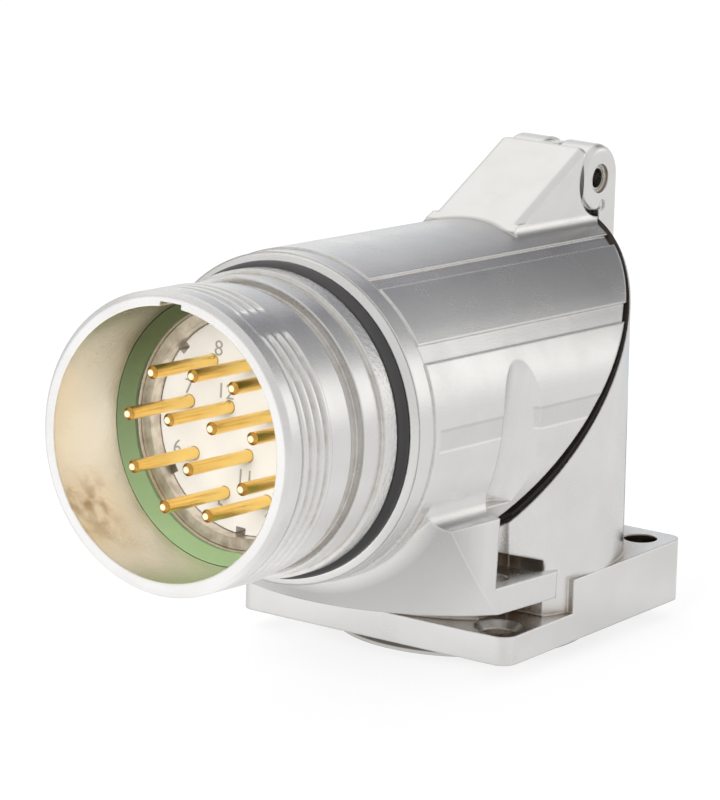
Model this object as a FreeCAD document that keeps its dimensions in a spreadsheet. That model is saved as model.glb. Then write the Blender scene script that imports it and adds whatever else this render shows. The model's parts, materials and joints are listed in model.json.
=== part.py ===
"""Right-angle panel connector with a hinged upper housing and twelve contact pins.

The origin is the middle of the flange's underside, so the panel is the plane z = 0.
The column stands along +Z, the barrel points along -Y and the hinge is at the rear top.
All lengths are in millimetres and all angles in degrees.
"""

import FreeCAD, Part
import os
import re

import Sketcher

Vector = FreeCAD.Vector

# Driving dimensions, one row each: cell name, value, what it measures
SIZES = [
    ("flange_width", 26.0, "side of the square flange"),
    ("flange_thickness", 5.1, "flange height behind the front ledge"),
    ("flange_corner", 1.3, "radius of the flange's upright corners"),
    ("ledge_thickness", 2.33, "flange height under the clamping feet"),
    ("ledge_back", 3.6, "ledge's rear wall, ahead of the column axis"),
    ("hole_edge", 2.6, "mounting hole's distance from the flange's sides"),
    ("hole_radius", 1.4, "mounting hole"),
    ("hole_sink", 0.6, "widening at the mouth of each front hole"),
    ("head_radius", 2.5, "room for a screw's head beside the column"),
    ("head_height", 2.4, "height of that room"),
    ("spigot_radius", 10.4, "spigot that enters the panel cut-out"),
    ("spigot_depth", 1.55, "how far the spigot reaches below the panel face"),
    ("wire_bore", 8.0, "wire passage through the flange and the spigot"),
    ("shell_radius", 13.0, "outside of the barrel, and of the column at the panel"),
    ("column_taper", 0.36, "how much thinner the column is at the height of the hinge"),
    ("flat_depth", 0.03, "how far the side flats lie inside the shells' round"),
    ("base_cavity", 10.5, "inside of the column above its floor"),
    ("base_floor", 9.2, "top of the column's thick floor"),
    ("barrel_height", 18.25, "barrel axis above the panel with the lid shut"),
    ("base_split", 18.6, "height of the base's slanted face on the column axis"),
    ("split_gap", 0.4, "height of the lid's slanted face above the base's"),
    ("groove_depth", 0.22, "depth of the long grooves in both shells"),
    ("hinge_y", 12.05, "hinge pin, behind the column axis"),
    ("hinge_z", 34.0, "hinge pin, above the panel"),
    ("ear_radius", 2.8, "rounded end of the base's ears"),
    ("ear_half", 4.15, "half the width over the ears and the ramp"),
    ("ear_round", 0.65, "rounded side edges of the ears"),
    ("rib_foot", 21.0, "lower end of the rib behind the column"),
    ("knuckle_half", 0.75, "half the width of the lid's knuckle"),
    ("knuckle_radius", 2.6, "rounded end of the lid's knuckle"),
    ("knuckle_gap", 0.12, "clearance each side of the knuckle"),
    ("hinge_gap", 0.3, "clearance round the ears"),
    ("pin_radius", 1.0, "hinge pin"),
    ("pin_bore", 0.8, "hole through the hinge pin"),
    ("pin_slack", 0.04, "running clearance of the lid on its pin"),
    ("pin_rim", 0.2, "width of the recess round each end of the pin"),
    ("pin_inset", 0.35, "how far the pin's ends lie inside the ears"),
    ("lid_lift", 3.1, "how far the unscrewed lid stands open"),
    ("foot_back", 4.0, "rear end of a foot, ahead of the column axis"),
    ("foot_bottom", 3.25, "underside of the shut lid's feet"),
    ("foot_thickness", 2.16, "clamping foot"),
    ("foot_side", 0.03, "outer side of a foot, inside the flange's side"),
    ("foot_inner", 8.5, "inner side of a foot, from the middle"),
    ("foot_gap", 0.3, "clearance between a foot and the column"),
    ("foot_round", 0.8, "rounded outer corner at the rear of a foot"),
    ("notch_top", 6.9, "top of the column's notch over a foot"),
    ("notch_slope", 16.7, "rise of the notch's top towards the front"),
    ("notch_back", 5.9, "notch's rear wall, ahead of the column axis"),
    ("gusset_back", 13.4, "gusset's rear face, ahead of the column axis"),
    ("gusset_front", 21.6, "gusset's front limit, ahead of the column axis"),
    ("gusset_top", 10.95, "sharp edge at the top of the gusset's side"),
    ("gusset_round", 14.85, "plan radius of the gusset's front at its foot"),
    ("gusset_flare", 0.603, "growth of that radius with height"),
    ("gusset_centre", 5.54, "centre of that rounding, ahead of the column axis"),
    ("trough_radius", 1.5, "hollow between the barrel and the gusset"),
    ("body_front", 23.0, "front of the cast barrel, ahead of the column axis"),
    ("collar_front", 24.95, "front face of the collar"),
    ("collar_radius", 12.87, "collar in front of the barrel"),
    ("o_ring_section", 0.7, "radius of the O-ring's section"),
    ("o_ring_radius", 11.55, "middle radius of the O-ring"),
    ("o_ring_room", 0.05, "side clearance of the O-ring in its groove"),
    ("land_radius", 11.85, "land in front of the O-ring"),
    ("land_front", 28.05, "front of that land"),
    ("step_radius", 11.55, "step in front of the land"),
    ("step_front", 30.3, "front of that step"),
    ("neck_radius", 10.85, "narrow neck behind the thread"),
    ("neck_front", 31.5, "front end of the narrow neck"),
    ("runout_radius", 11.2, "plain end of the thread"),
    ("thread_back", 34.2, "rear end of the thread"),
    ("thread_front", 38.1, "front end of the thread"),
    ("thread_root", 10.95, "root of the thread"),
    ("thread_crest", 11.5, "crest of the thread and the lands beside it"),
    ("rim_front", 39.75, "rim of the shell, ahead of the column axis"),
    ("rim_round", 0.4, "rounded outer edge of the rim"),
    ("mouth_radius", 10.36, "bore that takes the mating plug"),
    ("seat_depth", 30.6, "shoulder at the bottom of that bore"),
    ("key_width", 1.95, "keyway at the top of that bore"),
    ("key_depth", 0.32, "depth of the keyway in the bore's wall"),
    ("key_back", 35.5, "rear end of the keyway, ahead of the column axis"),
    ("sleeve_radius", 9.35, "outside of the insert sleeve"),
    ("sleeve_wall", 0.88, "wall of the insert sleeve"),
    ("sleeve_front", 30.3, "front end of the sleeve"),
    ("sleeve_back", 18.6, "rear end of the sleeve"),
    ("seat_slack", 0.02, "clearance of pieces that seat in one another"),
    ("cavity_front", 17.0, "front of the lid's wiring space"),
    ("lid_cavity", 10.2, "radius of the lid's wiring space"),
    ("pocket_radius", 2.97, "screwdriver pocket in the barrel's side"),
    ("pocket_x", 14.3, "pocket axis at the height of the barrel axis"),
    ("pocket_y", 11.2, "pocket axis, ahead of the column axis"),
    ("pocket_lean", 9.3, "outward lean of the pocket"),
    ("channel_radius", 2.1, "screw channel down the column"),
    ("ramp_front", 0.5, "foot of the ramp, ahead of the column axis"),
    ("ramp_low", 30.9, "height of the foot of the ramp"),
    ("ramp_back", 9.3, "top edge of the ramp, behind the column axis"),
    ("ramp_high", 36.65, "height of the top of the ramp"),
    ("ramp_round", 0.8, "rounded side edges of the ramp"),
    ("ramp_cove", 1.1, "hollow where the ramp's sides meet the barrel"),
    ("block_back", 9.75, "rear end of the ramp block's top"),
    ("gasket_proud", 0.22, "gasket above the base's slanted face"),
    ("gasket_sunk", 0.5, "gasket below that face"),
    ("gasket_inset", 0.45, "gasket edge inside the column's outline"),
    ("gasket_width", 3.65, "radial width of the gasket round its opening"),
    ("seal_radius", 11.6, "outside of the seal round the spigot"),
    ("seal_sunk", 0.8, "seal's top above the panel face"),
    ("seal_below", 0.2, "how far the seal reaches below the panel face"),
    ("seal_neck", 10.2, "neck of the spigot that holds the seal"),
    ("seal_lip", 0.3, "lower end of that neck, below the panel face"),
    ("bore_seal_outer", 10.33, "outside of the seal in the bore"),
    ("bore_seal_inner", 9.45, "inside of that seal"),
    ("bore_seal_front", 32.1, "outer front edge of that seal"),
    ("bore_seal_slope", 1.15, "how much deeper its inner front edge lies"),
    ("insert_front", 29.05, "face of the contact insert"),
    ("insert_back", 24.0, "joint between the insert and its carrier"),
    ("coding_width", 0.9, "width of the coding notches in the insert's edge"),
    ("coding_reach", 0.55, "how far those notches reach inwards"),
    ("coding_depth", 1.3, "depth of those notches from the face"),
    ("snap_ring_radius", 9.85, "outside of the snap ring behind the sleeve"),
    ("snap_ring_width", 1.6, "radial width of the snap ring"),
    ("snap_ring_thickness", 0.9, "thickness of the snap ring"),
    ("snap_ring_opening", 5.0, "gap between the snap ring's ends"),
    ("contact_radius", 0.5, "contact pin"),
    ("contact_tip", 36.8, "tip of the contact pins"),
    ("contact_chamfer", 0.25, "chamfer at the tip"),
    ("shoulder_radius", 0.85, "thick part of a contact"),
    ("shoulder_front", 23.4, "front of the thick part"),
    ("shoulder_back", 21.0, "rear of the thick part"),
    ("cup_radius", 0.7, "outside of the solder cup"),
    ("cup_wall", 0.15, "wall of the solder cup"),
    ("cup_depth", 2.6, "depth of the solder cup"),
    ("contact_back", 15.6, "rear end of the solder cup"),
    ("outer_circle", 5.85, "circle of the eight outer contacts"),
    ("offset_circle", 4.8, "distance of contact nine from the axis"),
    ("inner_circle", 2.3, "circle of the three inner contacts"),
]

# Angles of the contacts seen from the front, with 0 to the right and 90 upwards
OUTER_START = 50.0
OUTER_STEP = 40.0
OUTER_COUNT = 8
OFFSET_ANGLE = 90.0
INNER_ANGLES = (30.0, -90.0, 150.0)

# Angles of the coding notches in the insert's edge, counted as for the contacts
CODING_ANGLES = (142.0, 212.0, 268.0)

# Long grooves of both shells: middle angle from the side flat and angular width
LONG_GROOVES = ((30.0, 6.6), (59.9, 5.4))

# Longer than the whole connector, for tools that cut right through
FAR = 60.0

# Places that several pieces share: hole centres and side flats, both from the middle
HOLE_PLACE = "(flange_width / 2 - hole_edge)"
FLAT_PLACE = "(shell_radius - flat_depth)"

document = FreeCAD.newDocument("RightAnglePanelConnector")
sheet = document.addObject("Spreadsheet::Sheet", "Sizes")
for row, (alias, value, meaning) in enumerate(SIZES, start=1):
    sheet.set(f"A{row}", str(value))
    sheet.setAlias(f"A{row}", alias)
    sheet.set(f"B{row}", meaning)
document.recompute()

ALIASES = {alias for alias, value, meaning in SIZES}
subparts = []


def size(alias):
    """Return one size from the sheet as a number."""
    return float(sheet.get(alias))


def total(words):
    """Add up a line such as 'rim_front - rim_round', which holds names, numbers, + and -."""
    result = 0.0
    sign = 1.0
    for word in words.split():
        if word in ("+", "-"):
            sign = 1.0 if word == "+" else -1.0
        else:
            result += sign * (size(word) if word in ALIASES else float(word))
    return result


def formula(words):
    """Point every size named in a formula at its cell in the sheet."""
    return re.sub(
        r"[a-z_]{4,}", lambda m: f"Sizes.{m[0]}" if m[0] in ALIASES else m[0], words
    )


def bind(item, **formulas):
    """Bind properties to formulas; two underscores stand for a dot in a property's path."""
    for path, words in formulas.items():
        item.setExpression(path.replace("__", "."), formula(words))
    return item


def box(name, length, width, height, x, y, z):
    """A box from its lowest corner, every size and place a formula."""
    item = document.addObject("Part::Box", name)
    bind(item, Length=length, Width=width, Height=height)
    return bind(item, Placement__Base__x=x, Placement__Base__y=y, Placement__Base__z=z)


def upright(name, radius, bottom, height, x="0", y="0"):
    """A cylinder along Z."""
    item = document.addObject("Part::Cylinder", name)
    bind(item, Radius=radius, Height=height)
    return bind(item, Placement__Base__x=x, Placement__Base__y=y, Placement__Base__z=bottom)


def at_hinge(name, radius, left, length):
    """A cylinder along the hinge's axis, starting at a given X."""
    item = document.addObject("Part::Cylinder", name)
    bind(item, Radius=radius, Height=length)
    place = f"placement(vector({left}; hinge_y; hinge_z); rotation(vector(0; 1; 0); 90))"
    return bind(item, Placement=place)


def fuse(name, *parts):
    """One solid from several that overlap."""
    item = document.addObject("Part::MultiFuse", name)
    item.Shapes = list(parts)
    item.Refine = True
    return item


def cut(name, base, *tools):
    """A solid with the tools taken out."""
    item = document.addObject("Part::Cut", name)
    item.Base = base
    item.Tool = tools[0] if len(tools) == 1 else fuse(name + "Tools", *tools)
    item.Refine = True
    return item


def common(name, *parts):
    """What several solids share."""
    item = document.addObject("Part::MultiCommon", name)
    item.Shapes = list(parts)
    return item


def rounded(name, base, alias, chosen):
    """Round the edges that a test chooses, by one size from the sheet."""
    document.recompute()
    item = document.addObject("Part::Fillet", name)
    item.Base = base
    radius = size(alias)
    edges = enumerate(base.Shape.Edges, start=1)
    item.Edges = [(index, radius, radius) for index, edge in edges if chosen(edge)]
    return item


def subpart(item, label, placement=None):
    """Mark an object as one piece of the product, under its own label."""
    item.Label = label
    if placement is not None:
        bind(item, Placement=placement)
    subparts.append(item)
    return item


def outline_body(name, outline):
    """A body with one closed sketch of straight lines in its XY plane.

    Every corner is a pair of sums of sizes: distance along local X, distance along local Y.
    """
    body = document.addObject("PartDesign::Body", name)
    sketch = body.newObject("Sketcher::SketchObject", name + "Outline")
    plane = next(part for part in body.Origin.OriginFeatures if part.Role == "XY_Plane")
    sketch.AttachmentSupport = [(plane, "")]
    sketch.MapMode = "FlatFace"
    corners = [Vector(total(along), total(across), 0) for along, across in outline]
    count = len(corners)
    for index in range(count):
        sketch.addGeometry(Part.LineSegment(corners[index], corners[(index + 1) % count]))
    for index in range(count):
        following = (index + 1) % count
        sketch.addConstraint(Sketcher.Constraint("Coincident", index, 2, following, 1))
    for index, (along, across) in enumerate(outline):
        for kind, words in (("DistanceX", along), ("DistanceY", across)):
            rule = Sketcher.Constraint(kind, -1, 1, index, 1, total(words))
            place = sketch.addConstraint(rule)
            sketch.setExpression(f"Constraints[{place}]", formula(words))
    document.recompute()
    return body, sketch


def turned(name, outline):
    """A body turned round local X from corners given as distance ahead and radius."""
    body, sketch = outline_body(name, outline)
    feature = body.newObject("PartDesign::Revolution", name + "Turning")
    feature.Profile = sketch
    feature.ReferenceAxis = (sketch, ["H_Axis"])
    feature.Angle = 360.0
    body.Tip = feature
    return body


def side_profile(name, outline, half):
    """A body from a side view, corners given as (y, z), to both sides of the middle plane."""
    body, sketch = outline_body(name, outline)
    feature = body.newObject("PartDesign::Pad", name + "Pad")
    feature.Profile = sketch
    feature.Midplane = True
    bind(feature, Length=f"2 * ({half})")
    body.Tip = feature
    bind(body, Placement="placement(vector(0; 0; 0); rotation(vector(1; 1; 1); 120))")
    return body


# Turned pieces lie along the barrel's axis, with local X pointing forward
ALONG_BARREL = "placement(vector(0; 0; barrel_height); rotation(vector(1; -1; -1); 120))"
# The lid and all it carries turn on the hinge pin by the free play of the unscrewed lid
LIFT = (
    "placement(vector(0; 0; 0); rotation(vector(-1; 0; 0); lid_lift); "
    "vector(0; hinge_y; hinge_z))"
)


def beyond_split(name, height, above):
    """All the space on one side of the slanted face that crosses the axis at a height."""
    item = document.addObject("Part::Box", name)
    item.Length = 2 * FAR
    item.Width = 2 * FAR
    item.Height = FAR
    start = 0.0 if above else -FAR
    place = (
        f"placement(vector(0; 0; {height}); rotation(vector(1; 0; 0); 45)) "
        f"* placement(vector({-FAR}; {-FAR}; {start}); rotation(vector(1; 0; 0); 0))"
    )
    return bind(item, Placement=place)


def long_groove(name, middle, width, upward):
    """A shallow channel along a shell; upward selects the column, otherwise the barrel."""
    item = document.addObject("Part::Box", name)
    across = f"shell_radius * {width} * pi / 180"
    if upward:
        bind(item, Length="shell_radius", Width=across, Height=f"{2 * FAR}")
        turn = f"placement(vector(0; 0; 0); rotation(vector(0; 0; 1); {middle}))"
        start = f"vector(shell_radius - groove_depth; -({across}) / 2; 0)"
    else:
        bind(item, Length="shell_radius", Width=f"body_front + {FAR}", Height=across)
        turn = f"placement(vector(0; 0; barrel_height); rotation(vector(0; -1; 0); {middle}))"
        start = f"vector(shell_radius - groove_depth; -body_front; -({across}) / 2)"
    turn = turn + f" * placement({start}; rotation(vector(1; 0; 0); 0))"
    return bind(item, Placement=turn)


def groove_set(name, upward):
    """The four long grooves of one shell, two on each side."""
    tools = []
    for number, (middle, width) in enumerate(LONG_GROOVES, start=1):
        tools.append(long_groove(f"{name}Right{number}", middle, width, upward))
        tools.append(long_groove(f"{name}Left{number}", 180.0 - middle, width, upward))
    return tools


def hole_centres():
    """Signs of the four mounting holes with a name each: left or right, front or rear."""
    return [
        (side + end, across, along)
        for side, across in (("Left", -1), ("Right", 1))
        for end, along in (("Front", -1), ("Rear", 1))
    ]


def make_base():
    """Casting that stands on the panel: flange, ledge, column, ears and spigot."""
    plate = box(
        "FlangePlate", "flange_width", "flange_width", "flange_thickness",
        "-flange_width / 2", "-flange_width / 2", "0",
    )
    flange = rounded(
        "Flange", plate, "flange_corner",
        lambda edge: edge.BoundBox.ZLength > size("flange_thickness") / 2,
    )
    ledge = box(
        "LedgeCut", "2 * flange_width", "flange_width", "flange_thickness",
        "-flange_width", "-flange_width - ledge_back", "ledge_thickness",
    )
    column = document.addObject("Part::Cone", "ColumnRound")
    bind(column, Radius1="shell_radius", Radius2="shell_radius - column_taper", Height="hinge_z")
    flats = box(
        "ColumnFlats", f"2 * {FLAT_PLACE}", "2 * flange_width", "hinge_z",
        f"-{FLAT_PLACE}", "-flange_width", "0",
    )
    channels = []
    for name, across, along in hole_centres():
        x, y = f"{across} * {HOLE_PLACE}", f"{along} * {HOLE_PLACE}"
        if along < 0:
            channels.append(
                upright("Channel" + name, "channel_radius", "ledge_thickness", "hinge_z", x, y)
            )
        else:
            channels.append(
                upright("Head" + name, "head_radius", "flange_thickness", "head_height", x, y)
            )
    for name, sign in (("Left", -1), ("Right", 1)):
        start = "foot_inner - foot_gap" if sign > 0 else "-foot_inner + foot_gap - shell_radius"
        hollow = box(
            "NotchRoom" + name, "shell_radius", "shell_radius", "2 * notch_top",
            start, "-notch_back - shell_radius", "ledge_thickness",
        )
        top = document.addObject("Part::Box", "NotchTop" + name)
        bind(top, Length=f"{2 * FAR}", Width=f"{2 * FAR}", Height="2 * notch_top")
        place = (
            "placement(vector(0; -notch_back; notch_top); rotation(vector(-1; 0; 0); notch_slope))"
            f" * placement(vector({-FAR}; {-FAR}; -2 * notch_top); rotation(vector(1; 0; 0); 0))"
        )
        channels.append(common("Notch" + name, hollow, bind(top, Placement=place)))
    tower = cut(
        "Tower", common("ColumnBody", column, flats),
        beyond_split("BaseSplit", "base_split", True), *channels, *groove_set("BaseGroove", True),
    )
    ear_round = at_hinge("EarRound", "ear_radius", "-ear_half", "2 * ear_half")
    rib = side_profile(
        "HingeRib",
        [
            ("hinge_y", "hinge_z"),
            ("hinge_y", "base_split + hinge_y"),
            ("hinge_y - ear_radius", "base_split + hinge_y - ear_radius"),
            ("hinge_y - ear_radius", "rib_foot"),
            ("hinge_y", "rib_foot"),
            ("hinge_y + ear_radius", "rib_foot + ear_radius"),
            ("hinge_y + ear_radius", "hinge_z"),
        ],
        "ear_half",
    )
    ears = rounded(
        "Ears", fuse("EarBlock", ear_round, rib), "ear_round",
        lambda edge: abs(abs(edge.CenterOfMass.x) - size("ear_half")) < 0.01
        and edge.BoundBox.ZMax > size("hinge_z") - 0.01
        and edge.BoundBox.YMax > size("hinge_y") + 0.01,
    )
    slot = at_hinge(
        "KnuckleSlot", "knuckle_radius + hinge_gap",
        "-knuckle_half - knuckle_gap", "2 * (knuckle_half + knuckle_gap)",
    )
    slot_top = box(
        "KnuckleSlotTop", "2 * (knuckle_half + knuckle_gap)", "4 * ear_radius", "2 * ear_radius",
        "-knuckle_half - knuckle_gap", "hinge_y - 2 * ear_radius", "hinge_z",
    )
    slot_front = box(
        "KnuckleSlotFront", "2 * (knuckle_half + knuckle_gap)", "2 * ear_radius",
        "knuckle_radius + hinge_gap",
        "-knuckle_half - knuckle_gap", "hinge_y - 2 * ear_radius",
        "hinge_z - knuckle_radius - hinge_gap",
    )
    spigot = upright("Spigot", "spigot_radius", "-spigot_depth", "spigot_depth + 1")
    holes = []
    for name, across, along in hole_centres():
        x, y = f"{across} * {HOLE_PLACE}", f"{along} * {HOLE_PLACE}"
        holes.append(upright("Hole" + name, "hole_radius", "-1", "flange_thickness + 2", x, y))
        if along < 0:
            sink = document.addObject("Part::Cone", "Sink" + name)
            bind(sink, Radius1="hole_radius", Radius2="hole_radius + hole_sink")
            bind(sink, Height="hole_sink", Placement__Base__x=x, Placement__Base__y=y)
            holes.append(bind(sink, Placement__Base__z="ledge_thickness - hole_sink"))
    wires = upright("WireBore", "wire_bore", "-spigot_depth - 1", f"{FAR}")
    cavity = upright("BaseCavity", "base_cavity", "base_floor", f"{FAR}")
    seal_room = cut(
        "SealRoom",
        upright("SealRoomOuter", "seal_radius + seat_slack", "-seal_lip", "seal_lip + seal_sunk"),
        upright("SealRoomInner", "seal_neck", "-spigot_depth", "spigot_depth + 2 * seal_sunk"),
    )
    pin_room = at_hinge("PinHole", "pin_radius", f"-{FAR}", f"{2 * FAR}")
    rims = [
        at_hinge("PinRimLeft", "pin_radius + pin_rim", "-ear_half - 1", "1 + pin_inset"),
        at_hinge("PinRimRight", "pin_radius + pin_rim", "ear_half - pin_inset", "1 + pin_inset"),
    ]
    gasket_seat = make_gasket("GasketSeat", "seat_slack", "gasket_sunk + seat_slack", "1")
    hollow_ears = cut(
        "HollowEars", ears, upright("EarCavity", "base_cavity", "base_floor", "hinge_z")
    )
    solid = fuse("BaseSolid", cut("FlangeBody", flange, ledge), tower, hollow_ears, spigot)
    cuts = [slot, slot_top, slot_front, wires, cavity, seal_room, pin_room, gasket_seat]
    return subpart(cut("Base", solid, *cuts, *rims, *holes), "base_housing")


def make_gasket(name, slack, below, above):
    """Slanted plate inside the column's outline, from below to above the base's split face."""
    body = upright(name + "Round", f"shell_radius - gasket_inset + {slack}", "0", f"{FAR}")
    radius = f"shell_radius - gasket_inset - gasket_width - {slack}"
    opening = upright(name + "Opening", radius, "-1", f"{FAR}")
    slab = document.addObject("Part::Box", name + "Slab")
    bind(slab, Length=f"{2 * FAR}", Width=f"{2 * FAR}", Height=f"{below} + {above}")
    place = (
        "placement(vector(0; 0; base_split); rotation(vector(1; 0; 0); 45)) "
        f"* placement(vector({-FAR}; {-FAR}; -({below})); rotation(vector(1; 0; 0); 0))"
    )
    bind(slab, Placement=place)
    clear = [
        at_hinge(
            name + "HingeRoom", f"ear_radius + hinge_gap - {slack}", "-ear_half", "2 * ear_half"
        ),
        box(
            name + "HingeBack", "2 * ear_half", "shell_radius", "2 * hinge_z",
            "-ear_half", "hinge_y + pin_radius", "0",
        ),
    ]
    for side, sign in (("Left", -1), ("Right", 1)):
        clear.append(
            upright(
                f"{name}Channel{side}", f"channel_radius + gasket_inset - {slack}", "0", f"{FAR}",
                f"{sign} * {HOLE_PLACE}", f"-{HOLE_PLACE}",
            )
        )
    return cut(name, common(name + "Plate", body, slab), opening, *clear)


def make_shell():
    """Barrel, collar, O-ring groove, threaded end and stepped bore, turned as one outline."""
    back = f"{-FAR / 4}"
    outline = [
        (back, "shell_radius"),
        ("body_front", "shell_radius"),
        ("body_front", "collar_radius"),
        ("collar_front", "collar_radius"),
        ("collar_front", "o_ring_radius - o_ring_section"),
        (
            "collar_front + o_ring_section + o_ring_section + o_ring_room + o_ring_room",
            "o_ring_radius - o_ring_section",
        ),
        (
            "collar_front + o_ring_section + o_ring_section + o_ring_room + o_ring_room",
            "land_radius",
        ),
        ("land_front", "land_radius"),
        ("land_front", "step_radius"),
        ("step_front", "step_radius"),
        ("step_front", "neck_radius"),
        ("neck_front", "neck_radius"),
        ("neck_front", "runout_radius"),
        ("thread_back", "runout_radius"),
        ("thread_back", "thread_root"),
        ("thread_front", "thread_root"),
        ("thread_front", "thread_crest"),
        ("rim_front - rim_round", "thread_crest"),
        ("rim_front", "thread_crest - rim_round"),
        ("rim_front", "mouth_radius"),
        ("seat_depth", "mouth_radius"),
        ("seat_depth", "sleeve_radius + seat_slack"),
        ("sleeve_back", "sleeve_radius + seat_slack"),
        ("sleeve_back", "snap_ring_radius + seat_slack"),
        ("sleeve_back - snap_ring_thickness", "snap_ring_radius + seat_slack"),
        ("sleeve_back - snap_ring_thickness", "sleeve_radius + seat_slack"),
        ("cavity_front", "sleeve_radius + seat_slack"),
        ("cavity_front", "lid_cavity"),
        (back, "lid_cavity"),
    ]
    return bind(turned("Shell", outline), Placement=ALONG_BARREL)


def make_gusset():
    """Web under the barrel, rounded in plan, flared upwards and hollowed below the barrel."""
    trough_z = "(gusset_top + trough_radius)"
    reach = "shell_radius + trough_radius"
    trough_x = f"sqrt(({reach})^2 - (barrel_height - {trough_z})^2)"
    block = box(
        "GussetBlock", f"2 * {FLAT_PLACE}", "gusset_front - gusset_back",
        f"gusset_top + trough_radius * (1 + (barrel_height - {trough_z}) / ({reach})) - foot_bottom",
        f"-{FLAT_PLACE}", "-gusset_front", "foot_bottom",
    )
    feet = box(
        "FootStrip", "flange_width - 2 * foot_side", "gusset_back - foot_back + 1",
        "foot_thickness", "-flange_width / 2 + foot_side", "-gusset_back - 1", "foot_bottom",
    )
    foot_ends = rounded(
        "FootEnds", feet, "foot_round",
        lambda edge: edge.BoundBox.ZLength > size("foot_thickness") / 2
        and abs(edge.CenterOfMass.y + size("foot_back")) < 0.01,
    )
    between = box(
        "FootSpace", "2 * foot_inner", "gusset_back - foot_back + 1", "foot_thickness + 2",
        "-foot_inner", "-gusset_back", "foot_bottom - 1",
    )
    column = upright("FootColumn", "shell_radius + foot_gap", "0", "2 * notch_top")
    notch = box(
        "FootColumnFront", f"{FAR}", f"{FAR}", "3 * notch_top",
        f"{-FAR / 2}", f"-notch_back - foot_gap - {FAR}", "-1",
    )
    flare = document.addObject("Part::Cone", "GussetFlare")
    bind(flare, Radius1="gusset_round", Height="barrel_height - foot_bottom")
    bind(flare, Radius2="gusset_round + gusset_flare * (barrel_height - foot_bottom)")
    bind(flare, Placement__Base__y="-gusset_centre", Placement__Base__z="foot_bottom")
    troughs = []
    for name, sign in (("Left", -1), ("Right", 1)):
        trough = document.addObject("Part::Cylinder", "Trough" + name)
        bind(trough, Radius="trough_radius", Height="body_front")
        place = (
            f"placement(vector({sign} * {trough_x}; 0; {trough_z}); "
            "rotation(vector(1; 0; 0); 90))"
        )
        troughs.append(bind(trough, Placement=place))
    front = common("GussetFront", fuse("GussetSolid", block, foot_ends), flare)
    hollow = cut("FootHollow", column, notch)
    return cut("Gusset", front, between, hollow, *troughs)


def make_ramp():
    """Ramp block on top of the barrel that leads up to the hinge, with its middle knuckle."""
    outline = [
        ("0 - ramp_front", "barrel_height"),
        ("0 - ramp_front", "ramp_low"),
        ("ramp_back", "ramp_high"),
        ("block_back", "ramp_high"),
        ("block_back", "hinge_z"),
        ("hinge_y + pin_radius", "hinge_z"),
        ("hinge_y + pin_radius", "barrel_height"),
    ]
    block = side_profile("RampBlock", outline, "ear_half")
    half = size("ear_half")
    soft = rounded(
        "Ramp", block, "ramp_round",
        lambda edge: abs(abs(edge.CenterOfMass.x) - half) < 0.01
        and edge.CenterOfMass.z > size("ramp_low")
        and edge.CenterOfMass.y < size("block_back") - 0.01,
    )
    wide = side_profile("RampReach", outline, "ear_half + ramp_cove")
    coves = make_ramp_coves(wide)
    web_outline = [
        ("ramp_back", "hinge_z - knuckle_radius"),
        ("ramp_back", "hinge_z + knuckle_radius"),
        ("hinge_y", "hinge_z + knuckle_radius"),
        ("hinge_y", "hinge_z - knuckle_radius"),
    ]
    web = side_profile("KnuckleWeb", web_outline, "knuckle_half")
    knuckle = at_hinge("KnuckleRound", "knuckle_radius", "-knuckle_half", "2 * knuckle_half")
    return fuse("RampSolid", soft, coves), web, knuckle


def make_ramp_coves(reach):
    """Hollow fillets between the ramp's sides and the barrel, no longer than the ramp."""
    ring = "(shell_radius + ramp_cove)"
    centre_x = "(ear_half + ramp_cove)"
    centre_z = f"(barrel_height + sqrt({ring}^2 - {centre_x}^2))"
    touch_x = f"{centre_x} * shell_radius / {ring}"
    block = box(
        "CoveBlock", f"2 * {touch_x}", "hinge_y + ramp_front + pin_radius", "2 * ramp_cove",
        f"-{touch_x}", "-ramp_front", f"{centre_z} - 2 * ramp_cove",
    )
    hollows = []
    for name, sign in (("Left", -1), ("Right", 1)):
        hollow = document.addObject("Part::Cylinder", "Cove" + name)
        bind(hollow, Radius="ramp_cove", Height="2 * hinge_y")
        place = (
            f"placement(vector({sign} * {centre_x}; hinge_y + 2 * pin_radius; {centre_z}); "
            "rotation(vector(1; 0; 0); 90))"
        )
        hollows.append(bind(hollow, Placement=place))
    return common("RampCoves", cut("CoveSolid", block, *hollows), reach)


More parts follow.
